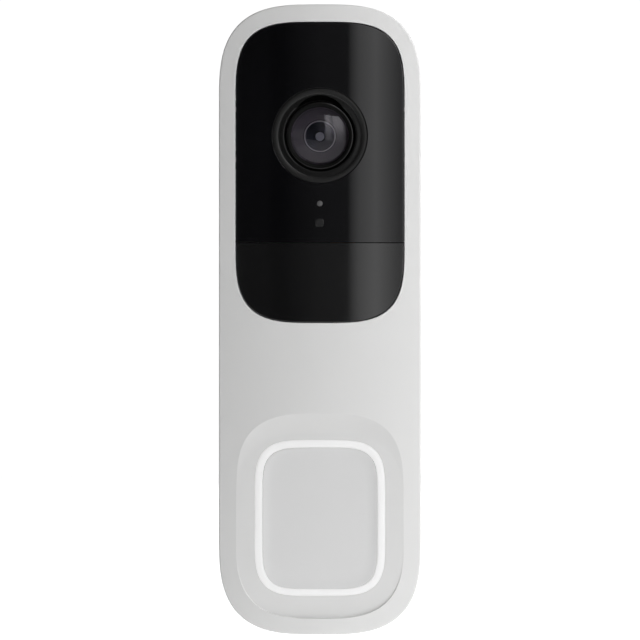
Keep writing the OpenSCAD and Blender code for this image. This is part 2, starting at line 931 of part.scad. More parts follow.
module cap_tab() {
    edge = ring_w / 2 - ring_band - cap_gap;
    for (side = [-1, 1]) {
        inner = side * (edge - cap_skirt_t / 2);
        outer = side * (edge + tab_reach);
        block(
            [min(inner, outer), max(inner, outer)],
            [button_z - tab_h / 2, button_z + tab_h / 2], [cap_skirt_d, cap_skirt_d + tab_t]
        );
    }
}

// Milky light guide, with a flange behind the field and notches for the cap's tabs.
module light_ring() {
    notch = tab_h / 2 + 0.6;
    color("#f6f6f6") difference() {
        union() {
            intersection() {
                slab(ring_back_d, body_d) ring_outline();
                crown(field_r, field_d);
            }
            slab(ring_flange_d[0], ring_flange_d[1]) ring_outline(ring_flange);
        }
        slab(ring_back_d - eps, body_d) hole_outline();
        block(
            [-body_w / 2, body_w / 2], [button_z - notch, button_z + notch],
            [ring_back_d - eps, cap_skirt_d + tab_t + gap]
        );
    }
}

module light_ring_gasket() {
    color("#5c5f61") slab(ring_flange_d[1], field_back_d) difference() {
        ring_outline(ring_flange);
        ring_outline(0.2);
    }
}

// Black frame that clamps the ring against the front shell.
module button_frame() {
    color("#2a2a2c") difference() {
        slab(button_front_d + gap, frame_end_d) button_board_outline();
        slab(button_front_d, frame_end_d + eps) ring_outline(0.2);
        for (up = [-1, 1]) both_sides(button_screw_x)
            bar(0, button_z + up * button_screw_dz, small_screw_r + gap, button_front_d, frame_end_d + eps);
    }
}

module button_board() {
    color("#1f5a3a") difference() {
        slab(button_board_d, button_front_d) button_board_outline();
        for (up = [-1, 1]) both_sides(button_screw_x)
            bar(0, button_z + up * button_screw_dz, small_screw_r + gap, button_board_d - 1, button_front_d + 1);
    }
}

module ring_leds() {
    spots = [[7, 17.7], [14.6, 10.5]];
    color("#f2ecd0") for (spot = spots) for (up = [-1, 1]) both_sides(spot[0])
        block(
            [-0.8, 0.8], [button_z + up * spot[1] - 0.8, button_z + up * spot[1] + 0.8],
            [button_front_d, button_front_d + 0.7]
        );
}

module button_switch() {
    half = switch_w / 2;
    well_d = plunger_top_d - plunger_t - button_travel - gap;
    color("#33363a") difference() {
        block([-half, half], [button_z - half, button_z + half], [button_front_d, switch_end_d]);
        bar(0, button_z, plunger_r + gap, well_d, switch_end_d + eps);
    }
}

module switch_plunger() {
    color("#d9c9a0") bar(0, button_z, plunger_r, plunger_top_d - plunger_t, plunger_top_d);
}

module button_screws() {
    color("#8f9294") for (up = [-1, 1]) both_sides(button_screw_x) {
        bar(0, button_z + up * button_screw_dz, small_head_r - 0.1, button_board_d - 1.2, button_board_d);
        bar(0, button_z + up * button_screw_dz, small_screw_r, button_board_d, field_back_d - 0.4);
    }
}

module tamper_switch() {
    half = tamper_block / 2;
    color("#33363a") difference() {
        block([-half, half], [tamper_z - half, tamper_z + half], [floor_d, tamper_block_d]);
        bar(0, tamper_z, tamper_r + 0.1, floor_d - eps, tamper_block_d - 0.5);
    }
}

// Round-ended pin that rests just off the plate's ramp.
module tamper_plunger() {
    color("#d0d0cc") {
        bar(0, tamper_z, tamper_r, tamper_tip_d + tamper_r, tamper_block_d - 1.5);
        translate([0, -tamper_tip_d - tamper_r, tamper_z]) sphere(r = tamper_r);
    }
}

module power_button() {
    color("#9a9c9e") {
        bar(power_x, port_z, power_r, floor_back_d + 0.2, floor_d + 0.1);
        bar(power_x, port_z, power_r + 0.6, floor_d + gap, floor_d + 0.8);
    }
}

module power_switch() {
    color("#33363a") {
        block(
            [power_x - 3, power_x + 3], [port_z - 3, port_z + 3],
            [floor_d + 0.8 + power_travel + gap, board_d]
        );
    }
}

module usb_outline(grow) {
    outline(usb_w + 2 * grow, usb_h + 2 * grow, usb_h / 2 + grow - gap, 2);
}

module usb_socket() {
    color("#b4b6b8") difference() {
        slab(floor_d - 1, board_d) translate([0, port_z]) usb_outline(0);
        slab(floor_d - 1 - eps, board_d - 1.5) translate([0, port_z]) usb_outline(-usb_wall);
    }
}

// Rubber plug in the charging socket's mouth.
module usb_plug() {
    color("#3a3a3c") {
        slab(floor_back_d + 0.2, floor_back_d + 0.95) translate([0, port_z]) usb_outline(usb_flange);
        slab(floor_back_d + 0.9, floor_d + 1.4) translate([0, port_z]) usb_outline(-usb_wall - gap);
    }
}

module terminal_block() {
    color("#3d4043") difference() {
        block(
            [-terminal_w / 2, terminal_w / 2],
            [terminal_z - terminal_h / 2, terminal_z + terminal_h / 2],
            [floor_back_d + 0.1, board_d]
        );
        both_sides(terminal_x) {
            bar(0, terminal_z, terminal_screw_r + 0.3, floor_back_d, floor_back_d + 1.8);
            bar(0, terminal_z, security_r + gap, floor_back_d, board_d - 2);
        }
    }
}

module terminal_screws() {
    head = floor_back_d + 0.3;
    color("#c9b98a") both_sides(terminal_x) difference() {
        union() {
            bar(0, terminal_z, terminal_screw_r, head, head + 1.4);
            bar(0, terminal_z, security_r, head + 1.4 - eps, board_d - 2.5);
        }
        block(
            [-terminal_screw_r - eps, terminal_screw_r + eps],
            [terminal_z - 0.3, terminal_z + 0.3], [head - eps, head + 0.7]
        );
    }
}

mounting_plate();
rear_housing();
front_cover();
perimeter_seal();
housing_screws();
security_screw();
camera_window();
motion_lens();
lens_bezel();
lens_seal();
lens_barrel();
front_lens();
inner_lens();
aperture_stop();
rear_lens();
lens_holder();
image_sensor();
camera_board();
camera_screws();
camera_flex();
infrared_board();
infrared_leds();
infrared_screws();
status_light_guide();
status_led();
light_sensor_window();
light_sensor();
motion_sensor();
main_board();
board_screws();
processor_shield();
supply_capacitors();
wifi_antenna();
microphone();
microphone_boot();
speaker();
speaker_gasket();
battery_pack();
battery_tape();
battery_socket();
battery_leads();
button_cap();
light_ring();
light_ring_gasket();
button_frame();
button_board();
ring_leds();
button_switch();
switch_plunger();
button_screws();
tamper_switch();
tamper_plunger();
power_button();
power_switch();
usb_socket();
usb_plug();
terminal_block();
terminal_screws();
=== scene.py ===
import math

import bmesh
import bpy
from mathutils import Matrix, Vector


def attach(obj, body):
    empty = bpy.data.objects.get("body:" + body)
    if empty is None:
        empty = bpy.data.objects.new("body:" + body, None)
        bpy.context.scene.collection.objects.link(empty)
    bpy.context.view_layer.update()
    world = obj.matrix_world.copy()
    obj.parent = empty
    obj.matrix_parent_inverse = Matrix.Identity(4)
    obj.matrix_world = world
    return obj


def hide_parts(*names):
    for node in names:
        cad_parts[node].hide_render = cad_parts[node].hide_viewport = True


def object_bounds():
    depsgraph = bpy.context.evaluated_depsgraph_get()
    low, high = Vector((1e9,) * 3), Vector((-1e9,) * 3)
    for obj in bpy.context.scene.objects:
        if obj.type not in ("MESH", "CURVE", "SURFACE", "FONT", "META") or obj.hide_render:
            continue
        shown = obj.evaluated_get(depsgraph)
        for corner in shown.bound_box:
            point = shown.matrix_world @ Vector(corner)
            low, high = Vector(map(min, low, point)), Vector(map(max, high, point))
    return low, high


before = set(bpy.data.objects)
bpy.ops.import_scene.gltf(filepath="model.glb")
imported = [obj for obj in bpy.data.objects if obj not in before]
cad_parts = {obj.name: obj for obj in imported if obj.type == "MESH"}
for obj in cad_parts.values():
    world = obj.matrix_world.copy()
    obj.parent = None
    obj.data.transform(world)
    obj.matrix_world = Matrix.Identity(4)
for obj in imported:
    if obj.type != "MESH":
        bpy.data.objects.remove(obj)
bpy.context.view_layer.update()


# ---------------------------------------------------------------- wall plate
# The plate is moulded in grey ABS with a fine spark-eroded grain and is held to
# the wall by two countersunk screws. The unit hooks onto its four slots.

GRAIN = 0.28     # mm, size of the moulded grain
SLOW = 22.0      # mm, size of the faint drift in tone


def noise_of(tree, place, size, detail=2.0):
    """A noise pattern whose features are that many millimetres across."""
    noise = tree.nodes.new("ShaderNodeTexNoise")
    noise.inputs["Scale"].default_value = 1000.0 / size
    noise.inputs["Detail"].default_value = detail
    tree.links.new(place, noise.inputs["Vector"])
    return noise.outputs["Fac"]


def spread(tree, value, low, high):
    """A noise's middle range, stretched between two values."""
    ramp = tree.nodes.new("ShaderNodeMapRange")
    ramp.inputs["From Min"].default_value = 0.3
    ramp.inputs["From Max"].default_value = 0.7
    ramp.inputs["To Min"].default_value = low
    ramp.inputs["To Max"].default_value = high
    tree.links.new(value, ramp.inputs["Value"])
    return ramp.outputs["Result"]


def finish(name, tone, rough, grain=GRAIN, relief=0.003, drift=0.02, uneven=0.05, shine=0.5):
    """A surface with a slow drift in tone, an uneven gloss and a fine relief (mm)."""
    material = bpy.data.materials.new(name)
    material.use_nodes = True
    tree = material.node_tree
    shader = tree.nodes["Principled BSDF"]
    shader.inputs["Specular IOR Level"].default_value = shine
    place = tree.nodes.new("ShaderNodeTexCoord").outputs["Object"]

    mix = tree.nodes.new("ShaderNodeMix")
    mix.data_type = "RGBA"
    mix.inputs["A"].default_value = [c * (1 - drift) for c in tone] + [1]
    mix.inputs["B"].default_value = [min(1.0, c * (1 + drift)) for c in tone] + [1]
    tree.links.new(spread(tree, noise_of(tree, place, SLOW), 0, 1), mix.inputs["Factor"])
    tree.links.new(mix.outputs["Result"], shader.inputs["Base Color"])

    gloss = spread(tree, noise_of(tree, place, 5.0, 3.0), rough - uneven, rough + uneven)
    tree.links.new(gloss, shader.inputs["Roughness"])

    bump = tree.nodes.new("ShaderNodeBump")
    bump.inputs["Distance"].default_value = relief / 1000.0
    tree.links.new(noise_of(tree, place, grain), bump.inputs["Height"])
    tree.links.new(bump.outputs["Normal"], shader.inputs["Normal"])
    return material


def coat_node(node, material):
    """Gives a CAD node's material slots one finish."""
    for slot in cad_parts[node].material_slots:
        slot.material = material


def break_corners(node, name, body, material, edge, crisp=35):
    """Remakes a part from its plain solid, with its corners broken and its curves shaded smooth."""
    bm = bmesh.new()
    bm.from_mesh(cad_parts[node].data)
    bmesh.ops.remove_doubles(bm, verts=bm.verts[:], dist=2e-6)
    bmesh.ops.dissolve_limit(bm, angle_limit=math.radians(0.8), verts=bm.verts[:], edges=bm.edges[:])
    corners = [
        e for e in bm.edges
        if e.is_manifold and e.is_convex and e.calc_face_angle() > math.radians(crisp)
    ]
    bmesh.ops.bevel(
        bm, geom=corners, offset=edge / 1000, offset_type="OFFSET", segments=2, profile=0.5,
        affect="EDGES", material=-1
    )
    mesh = bpy.data.meshes.new(name)
    bm.to_mesh(mesh)
    bm.free()
    mesh.materials.clear()
    mesh.materials.append(material)
    for face in mesh.polygons:
        face.material_index = 0
    mesh.shade_smooth()
    mesh.set_sharp_from_angle(angle=math.radians(50))
    piece = bpy.data.objects.new(name, mesh)
    bpy.context.scene.collection.objects.link(piece)
    # Large faces keep their own way out, so that only the broken corners shade round.
    even = piece.modifiers.new("even", "WEIGHTED_NORMAL")
    even.keep_sharp = True
    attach(piece, body)
    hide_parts(node)
    return piece


plate_plastic = finish("plate_grey_abs", (0.52, 0.52, 0.51), 0.55, relief=0.004)
break_corners("mounting_plate", "wall_plate", "mount", plate_plastic, 0.15)


# -------------------------------------------------------------- rear housing
# The rear shell is moulded in white ASA. Its skirt wraps round the wall plate,
# and its floor carries the hooks, the posts and the ports.

BODY_TONE = (0.80, 0.80, 0.795)

body_plastic = finish("body_white_asa", BODY_TONE, 0.42, relief=0.0022, drift=0.008, uneven=0.03)
break_corners("rear_housing", "rear_shell", "housing", body_plastic, 0.15)


# --------------------------------------------------- parts inside the housing
# Boards are green glass-epoxy, cans are tinned steel, screws are zinc-plated,
# and the switches, sockets and speaker are moulded in black or cream.

board_mask = finish("board_green_mask", (0.016, 0.10, 0.045), 0.35, grain=0.9, relief=0.004, drift=0.25)
tinned = finish("tinned_steel", (0.62, 0.62, 0.61), 0.32, grain=0.15, relief=0.0015, uneven=0.08)
zinc = finish("zinc_plate", (0.55, 0.56, 0.58), 0.36, grain=0.12, relief=0.003, uneven=0.08)
for metal in (tinned, zinc):
    metal.node_tree.nodes["Principled BSDF"].inputs["Metallic"].default_value = 1.0
black_nylon = finish("black_nylon", (0.018, 0.018, 0.02), 0.5, grain=0.2, relief=0.004)
cream_nylon = finish("cream_nylon", (0.70, 0.62, 0.44), 0.45, grain=0.2)
chip_epoxy = finish("chip_epoxy", (0.028, 0.03, 0.036), 0.4, grain=0.08)
lamp_epoxy = finish("lamp_epoxy", (0.75, 0.72, 0.55), 0.22, grain=0.2, relief=0.001)
amber_film = finish("amber_film", (0.38, 0.17, 0.03), 0.3, grain=0.6, relief=0.001, drift=0.1)
silicone = finish("silicone_grey", (0.15, 0.16, 0.17), 0.62, grain=0.35)
black_rubber = finish("black_rubber", (0.016, 0.016, 0.017), 0.68, grain=0.3, relief=0.005)
foam = finish("closed_cell_foam", (0.045, 0.045, 0.05), 0.9, grain=0.25, relief=0.03)
film_wrap = finish("battery_film", (0.20, 0.27, 0.37), 0.28, grain=3.0, relief=0.02)
red_sleeve = finish("red_sleeve", (0.45, 0.02, 0.015), 0.42)
sleeve = finish("capacitor_sleeve", (0.03, 0.03, 0.05), 0.3)
brass = finish("nickel_brass", (0.66, 0.55, 0.33), 0.34, grain=0.12, relief=0.002)
brass.node_tree.nodes["Principled BSDF"].inputs["Metallic"].default_value = 1.0

for node, material in {
    "perimeter_seal": silicone, "light_ring_gasket": silicone, "microphone_boot": black_rubber,
    "lens_seal": black_rubber, "speaker_gasket": foam, "battery_tape": foam,
    "camera_board": board_mask, "infrared_board": board_mask, "main_board": board_mask,
    "button_board": board_mask, "processor_shield": tinned, "motion_sensor": tinned,
    "microphone": tinned, "usb_socket": tinned, "housing_screws": zinc, "camera_screws": zinc,
    "infrared_screws": zinc, "board_screws": zinc, "button_screws": zinc,
    "lens_holder": black_nylon, "button_frame": black_nylon, "button_switch": black_nylon,
    "tamper_switch": black_nylon, "power_switch": black_nylon, "speaker": black_nylon,
    "image_sensor": chip_epoxy, "light_sensor": chip_epoxy, "camera_flex": amber_film,
    "wifi_antenna": amber_film, "infrared_leds": lamp_epoxy, "status_led": lamp_epoxy,
    "ring_leds": lamp_epoxy, "supply_capacitors": sleeve, "battery_pack": film_wrap,
    "battery_leads": red_sleeve, "battery_socket": cream_nylon, "switch_plunger": cream_nylon,
}.items():
    coat_node(node, material)


# ------------------------------------------------------------ ports at the back
# The charging socket's plug is soft black rubber, the power button is grey ABS,
# the terminal block is dark PBT with nickel-plated brass screws, and the tamper
# pin is white acetal.

power_grey = finish("power_grey_abs", (0.30, 0.31, 0.32), 0.5)
terminal_dark = finish("terminal_pbt", (0.035, 0.038, 0.042), 0.5, relief=0.005)
acetal = finish("white_acetal", (0.68, 0.68, 0.65), 0.35)
break_corners("usb_plug", "charging_plug", "plug", black_rubber, 0.2)
break_corners("power_button", "power_key", "power", power_grey, 0.15)
break_corners("terminal_block", "wiring_block", "housing", terminal_dark, 0.12)
break_corners("terminal_screws", "wiring_screws", "housing", brass, 0.1)
break_corners("tamper_plunger", "tamper_pin", "tamper", acetal, 0.1)
break_corners("security_screw", "locking_screw", "housing", zinc, 0.08)
break_corners("housing_screws", "shell_screws", "housing", zinc, 0.08)


# --------------------------------------------------------------- front cover
# The front shell is one ASA moulding, crowned sideways, with a softly rounded
# edge. It carries the window's opening and, below it, the recessed button field
# that runs out flush at its sides. It is screwed to the rear housing from behind.

BODY = (48.0, 149.5, 22.8, 3.0, 0.0)          # width, height, corner, squareness, middle height
WINDOW = (40.1, 71.4, 18.8, 3.4, 34.9)
FIELD = (39.8, 48.7, 19.2, 3.0, -46.6)
RING_OUTER = (31.0, 37.0, 13.8, 3.6, -47.1)
CROWN_R, CROWN_D = 120.0, 26.0
FIELD_R, FIELD_D = 480.0, 24.75
PART_D = 15.0
COVER_EDGE = 0.35
CEILING_D = 21.9
CORNER_STEPS = 28
SLICE = 1.0


def sag(x, radius):
    """How far a crown of that radius has fallen away at x."""
    return radius - math.sqrt(radius * radius - x * x)


def inset(shape, by, top=None, bottom=None):
    """The same outline moved inwards, by other amounts at the top and bottom if given."""
    top = by if top is None else top
    bottom = by if bottom is None else bottom
    w, h, corner, square, z = shape
    return (w - 2 * by, h - top - bottom, corner - by, square, z + (bottom - top) / 2)


def outline_spot(k, shape):
    """The k-th corner-to-corner point of a rounded rectangle with superelliptic corners."""
    w, h, corner, square, z = shape
    quarter, i = divmod(k, CORNER_STEPS + 1)
    turn = (i if quarter % 2 == 0 else CORNER_STEPS - i) * math.pi / 2 / CORNER_STEPS
    c, s = math.cos(turn), math.sin(turn)
    reach = corner / (c ** square + abs(s) ** square) ** (1 / square)
    x = w / 2 - corner + reach * c
    up = h / 2 - corner + reach * s
    return (x if quarter in (0, 3) else -x, z + (up if quarter < 2 else -up))


def new_mesh():
    """An empty bmesh whose vertices know their place along an outline."""
    bm = bmesh.new()
    bm.verts.layers.int.new("place")
    return bm


def set_outline(bm, verts, shape, depth):
    place = bm.verts.layers.int["place"]
    for v in verts:
        x, z = outline_spot(v[place], shape)
        v.co = (x, -depth, z)


def first_outline(bm, shape, depth):
    """A loop of edges along an outline, at a depth from the wall."""
    place = bm.verts.layers.int["place"]
    ring = bmesh.ops.create_circle(bm, segments=4 * (CORNER_STEPS + 1), radius=1)["verts"]
    for k, v in enumerate(ring):
        v[place] = k
    set_outline(bm, ring, shape, depth)
    return list({e for v in ring for e in v.link_edges})


def next_outline(bm, edges, shape, depth):
    """Extrudes a loop of edges to the next outline and returns the new loop."""
    made = bmesh.ops.extrude_edge_only(bm, edges=edges)["geom"]
    verts = [g for g in made if isinstance(g, bmesh.types.BMVert)]
    set_outline(bm, verts, shape, depth)
    here = set(verts)
    return [g for g in made if isinstance(g, bmesh.types.BMEdge) and here.issuperset(g.verts)]


def rounded(edges, bm, shape, depth, radius, steps=5, turn_in=1):
    """Rolls a loop over a rounded edge: from a wall onto a face, turning inwards or outwards."""
    for i in range(1, steps + 1):
        a = math.pi / 2 * i / steps
        edges = next_outline(
            bm, edges, inset(shape, turn_in * radius * (1 - math.cos(a))),
            depth + radius * math.sin(a)
        )
    return edges


def face_between(bm, *loops):
    """Fills the flat space between loops of edges."""
    bmesh.ops.triangle_fill(
        bm, use_beauty=True, use_dissolve=False, normal=(0, -1, 0),
        edges=[e for loop in loops for e in loop]
    )


def slice_sideways(bm, half, step=SLICE):
    """Cuts the mesh at even steps across, so that it can follow a crown."""
    count = int(half / step)
    for k in range(-count, count + 1):
        bmesh.ops.bisect_plane(
            bm, geom=bm.verts[:] + bm.edges[:] + bm.faces[:], dist=1e-5,
            plane_co=(k * step, 0, 0), plane_no=(1, 0, 0)
        )


def lay_normals(mesh, way_out):
    """Shades the faces that lie on a known curved surface by that surface's own way out."""
    corners = [Vector(corner.vector) for corner in mesh.corner_normals]
    for face in mesh.polygons:
        ways = [way_out(mesh.vertices[i].co * 1000) for i in face.vertices]
        whole = all(ways) and abs(face.normal.dot(ways[0])) > 0.9
        for corner, way in zip(face.loop_indices, ways):
            if way and (whole or corners[corner].dot(way) > 0.99):
                corners[corner] = way
    mesh.normals_split_custom_set(corners)


def place_piece(name, bm, material, sharp=None, normals=None):
    """Turns a bmesh in millimetres into a smooth-shaded piece in metres."""
    bmesh.ops.remove_doubles(bm, verts=bm.verts[:], dist=1e-4)
    bmesh.ops.recalc_face_normals(bm, faces=bm.faces[:])
    bmesh.ops.scale(bm, vec=(0.001,) * 3, verts=bm.verts[:])
    mesh = bpy.data.meshes.new(name)
    bm.to_mesh(mesh)
    bm.free()
    mesh.materials.append(material)
    mesh.shade_smooth()
    if sharp:
        mesh.set_sharp_from_angle(angle=math.radians(sharp))
    if normals:
        lay_normals(mesh, normals)
    piece = bpy.data.objects.new(name, mesh)
    bpy.context.scene.collection.objects.link(piece)
    return piece


def crown_normal(x, radius):
    """The way out of a crown at x."""
    lean = math.asin(x / radius)
    return Vector((math.sin(lean), -math.cos(lean), 0))


def in_field(co, grow=0.05):
    w, h, corner, square, z = FIELD
    u = max(0.0, abs(co.x) - (w / 2 - corner)) / (corner + grow)
    v = max(0.0, abs(co.z - z) - (h / 2 - corner)) / (corner + grow)
    return u ** square + v ** square <= 1


def settle_front(bm):
    """Bends the flat-laid front onto the crown, and the field onto its own flatter one."""
    for v in bm.verts:
        depth = -v.co.y
        if depth <= CEILING_D + 0.01:
            continue
        crown = CROWN_D - sag(v.co.x, CROWN_R)
        if in_field(v.co):
            share = min(1.0, CROWN_D - depth)
            field = FIELD_D - sag(v.co.x, FIELD_R)
            v.co.y = -((1 - share) * crown + share * field - max(0.0, CROWN_D - 1 - depth))
        else:
            v.co.y = -(crown - (CROWN_D - depth))


bm = new_mesh()
back_in = first_outline(bm, inset(BODY, 2.0), PART_D)
edge = next_outline(bm, back_in, inset(BODY, 0.25), PART_D)
edge = next_outline(bm, edge, inset(BODY, 0.07), PART_D + 0.07)
edge = next_outline(bm, edge, BODY, PART_D + 0.25)
edge = next_outline(bm, edge, BODY, CROWN_D - COVER_EDGE)
face_edge = rounded(edge, bm, BODY, CROWN_D - COVER_EDGE, COVER_EDGE, 7)
ceiling_edge = next_outline(bm, back_in, inset(BODY, 2.0), CEILING_D)

WINDOW_GAP = 0.16
WINDOW_LIP = 0.12
opening = inset(WINDOW, -0.02)
window_low = first_outline(bm, opening, CEILING_D)
edge = next_outline(bm, window_low, opening, CROWN_D - WINDOW_LIP)
window_high = rounded(edge, bm, opening, CROWN_D - WINDOW_LIP, WINDOW_LIP, 4, -1)

# The fall into the field is long and hollow under its upper edge, and crisp at its
# sides and foot. Each step is how far it is down the slope, from 0 to 1.
FALL_TOP, FALL_SIDE = 5.2, 0.07
field_high = first_outline(bm, FIELD, CROWN_D)
edge = field_high
for t in (0.012, 0.04, 0.09, 0.16, 0.25, 0.36, 0.48, 0.62, 0.78, 0.9, 1.0):
    share = (1 - (1 - t) ** 2) * min(1.0, t / 0.04 * 0.75 + 0.25)
    edge = next_outline(
        bm, edge, inset(FIELD, FALL_SIDE * t, FALL_TOP * t, FALL_SIDE * t), CROWN_D - share
    )
field_low = edge

RING_GAP = 0.02
ring_hole = inset(RING_OUTER, -RING_GAP)
hole_low = first_outline(bm, ring_hole, CEILING_D)
HOLE_EDGE = 0.04
edge = next_outline(bm, hole_low, ring_hole, CROWN_D - 1 - HOLE_EDGE)
hole_high = rounded(edge, bm, ring_hole, CROWN_D - 1 - HOLE_EDGE, HOLE_EDGE, 3, -1)

face_between(bm, face_edge, window_high, field_high)
face_between(bm, field_low, hole_high)
face_between(bm, ceiling_edge, window_low, hole_low)
slice_sideways(bm, BODY[0] / 2)
settle_front(bm)


def cover_way_out(co):
    if abs(-co.y - (CROWN_D - sag(co.x, CROWN_R))) < 0.002:
        return crown_normal(co.x, CROWN_R)
    if abs(-co.y - (FIELD_D - sag(co.x, FIELD_R))) < 0.004 and in_field(co):
        return crown_normal(co.x, FIELD_R)
    return None


cover = place_piece("front_cover_shell", bm, body_plastic, sharp=30, normals=cover_way_out)
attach(cover, "housing")
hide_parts("front_cover")


# ----------------------------------------------------- window and motion lens
# Two panels of polished black polycarbonate meet at a hairline seam. The upper
# one is clear behind its tint for the camera; the lower one is a little milky
# and lets body heat through to the sensor. Both are bonded onto the cover's rim.

SEAM_Z = 18.2
SEAM_HALF = 0.09
PANEL_T = 1.5
PANEL_EDGE = 0.16
LENS_Z = 43.6
BEZEL_R = 11.3
STATUS = (0.65, 27.5)
SENSOR = (1.8, 22.9)
PANEL_SLICE = 0.5


def round_shape(radius, z):
    return (2 * radius, 2 * radius, radius, 2.0, z)


def panel(name, material, upper):
    """One of the two panels, cut from the whole window at the seam."""
    bm = new_mesh()
    rim = inset(WINDOW, WINDOW_GAP)
    low = first_outline(bm, rim, CROWN_D - PANEL_T)
    edge = next_outline(bm, low, rim, CROWN_D - PANEL_EDGE)
    high = rounded(edge, bm, rim, CROWN_D - PANEL_EDGE, PANEL_EDGE, 4)
    lows, highs = [low], [high]
    if upper:
        for hole in (
            round_shape(BEZEL_R + 0.05, LENS_Z), round_shape(STATUS[0] + 0.05, STATUS[1]),
            (SENSOR[0] + 0.1, SENSOR[0] + 0.1, SENSOR[0] / 2, 3.0, SENSOR[1]),
        ):
            lip = 0.06
            low = first_outline(bm, hole, CROWN_D - PANEL_T)
            edge = next_outline(bm, low, hole, CROWN_D - lip)
            lows.append(low)
            highs.append(rounded(edge, bm, hole, CROWN_D - lip, lip, 3, -1))
    face_between(bm, *lows)
    face_between(bm, *highs)
    whole = bm.verts[:] + bm.edges[:] + bm.faces[:]
    cut = SEAM_Z + (SEAM_HALF if upper else -SEAM_HALF)
    made = bmesh.ops.bisect_plane(
        bm, geom=whole, dist=1e-5, plane_co=(0, 0, cut), plane_no=(0, 0, 1),
        clear_inner=upper, clear_outer=not upper
    )["geom_cut"]
    seam = [g for g in made if isinstance(g, bmesh.types.BMEdge)]
    bmesh.ops.edgeloop_fill(bm, edges=seam)
    front = [e for e in bm.edges if all(
        abs(v.co.z - cut) < 1e-4 and -v.co.y > CROWN_D - 1e-4 for v in e.verts)]
    bmesh.ops.bevel(
        bm, geom=front, offset=0.03, offset_type="OFFSET", segments=2, profile=0.5,
        affect="EDGES", material=-1
    )
    slice_sideways(bm, WINDOW[0] / 2, PANEL_SLICE)
    for v in bm.verts:
        v.co.y += sag(v.co.x, CROWN_R)

    def panel_way_out(co):
        on_crown = abs(-co.y - (CROWN_D - sag(co.x, CROWN_R))) < 0.002
        return crown_normal(co.x, CROWN_R) if on_crown else None

    return place_piece(name, bm, material, sharp=40, normals=panel_way_out)


camera_black = finish(
    "window_black", (0.0035, 0.0035, 0.0042), 0.045, relief=0.00003, drift=0.1, uneven=0.006
)
motion_black = finish(
    "motion_black", (0.0075, 0.0075, 0.0078), 0.07, relief=0.0001, drift=0.1, uneven=0.01, shine=0.62
)

camera_panel = panel("camera_window_panel", camera_black, True)
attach(camera_panel, "housing")
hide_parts("camera_window")

motion_panel = panel("motion_lens_panel", motion_black, False)
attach(motion_panel, "housing")
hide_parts("motion_lens")


# ------------------------------------------------------------- small ports
# Below the lens sit a tiny milky light guide for the status lamp and a smoked
# polycarbonate spot for the light sensor, both pressed into the window.

guide_milk = finish("guide_milk", (0.10, 0.10, 0.10), 0.3, relief=0.0005)
smoked = finish("smoked_spot", (0.0125, 0.0125, 0.013), 0.22, relief=0.0005)


def turned(profile, z, steps=96, x=0.0):
    """A bmesh turned round the depth axis from (radius, depth) points."""
    bm = bmesh.new()
    verts = [bm.verts.new((r, -depth, 0)) for r, depth in profile]
    edges = [bm.edges.new(pair) for pair in zip(verts, verts[1:])]
    bmesh.ops.spin(
        bm, geom=verts + edges, cent=(0, 0, 0), axis=(0, 1, 0), angle=2 * math.pi,
        steps=steps, use_merge=True
    )
    bmesh.ops.remove_doubles(bm, verts=bm.verts[:], dist=1e-5)
    bmesh.ops.translate(bm, vec=(x, 0, z), verts=bm.verts[:])
    return bm


GUIDE_BACK = 24.4
status = turned(
    [(0, GUIDE_BACK - 0.6), (1.45, GUIDE_BACK - 0.6), (1.45, GUIDE_BACK), (0.65, GUIDE_BACK),
     (0.65, 25.86), (0.6, 25.95), (0.45, 25.985), (0, 25.995)], STATUS[1], 48)
guide = place_piece("status_guide", status, guide_milk, sharp=40)
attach(guide, "housing")
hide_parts("status_light_guide")

bm = new_mesh()
spot_shape = (SENSOR[0], SENSOR[0], SENSOR[0] / 2 - 0.05, 3.0, SENSOR[1])
low = first_outline(bm, spot_shape, GUIDE_BACK)
edge = next_outline(bm, low, spot_shape, 25.94)
top = next_outline(bm, edge, inset(spot_shape, 0.05), 25.985)
face_between(bm, low)
face_between(bm, top)
spot = place_piece("light_sensor_spot", bm, smoked, sharp=40)
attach(spot, "housing")
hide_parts("light_sensor_window")


# ------------------------------------------------------------------- bezel
# The bezel is a black moulding pressed into the window: a satin lip that stands
# a little proud, and inside it a polished flat band round the lens's well. Both
# follow the window's crown. A relief cut at the top clears the view upwards.

LIP_R = 10.0
WELL_R = 8.45
WELL_EDGE_R = 8.55
WELL_TOP_D = 24.9
bezel_satin = finish(
    "bezel_satin", (0.009, 0.009, 0.009), 0.38, grain=0.2, relief=0.0012, uneven=0.03, shine=0.27
)
bezel_gloss = finish(
    "bezel_gloss", (0.006, 0.006, 0.006), 0.17, grain=0.2, relief=0.0002, uneven=0.02, shine=0.42
)
# Painted shade: a near-black matt finish laid where the well, the relief and the barrel's mouth should fall
# dark, so they show neither light nor highlight.
painted_shade_black = finish("bezel_painted_shade", (0.002, 0.002, 0.002), 0.7, grain=0.2, shine=0.05)
bm = turned([
    (9.7, 20.1), (8.6, 20.1), (WELL_R, 20.2), (WELL_R, 25.5), (8.48, 25.56), (8.56, 25.59), (9.0, 25.6),
    (9.5, 25.61), (9.85, 25.62), (10.0, 25.64), (10.1, 25.69), (10.2, 25.75), (10.35, 25.79), (10.7, 25.82),
    (11.05, 25.81), (11.2, 25.77), (11.28, 25.7), (11.3, 25.6), (11.3, 24.4), (12.5, 24.15), (12.5, 22.8),
    (9.7, 22.8), (9.7, 20.1)
], LENS_Z, 128)
for v in bm.verts:
    v.co.y += sag(v.co.x, CROWN_R) * min(1.0, max(0.0, (-v.co.y - 24.4) / 1.0))
bezel = place_piece("lens_bezel_ring", bm, bezel_satin, sharp=40)
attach(bezel, "housing")
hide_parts("lens_bezel")

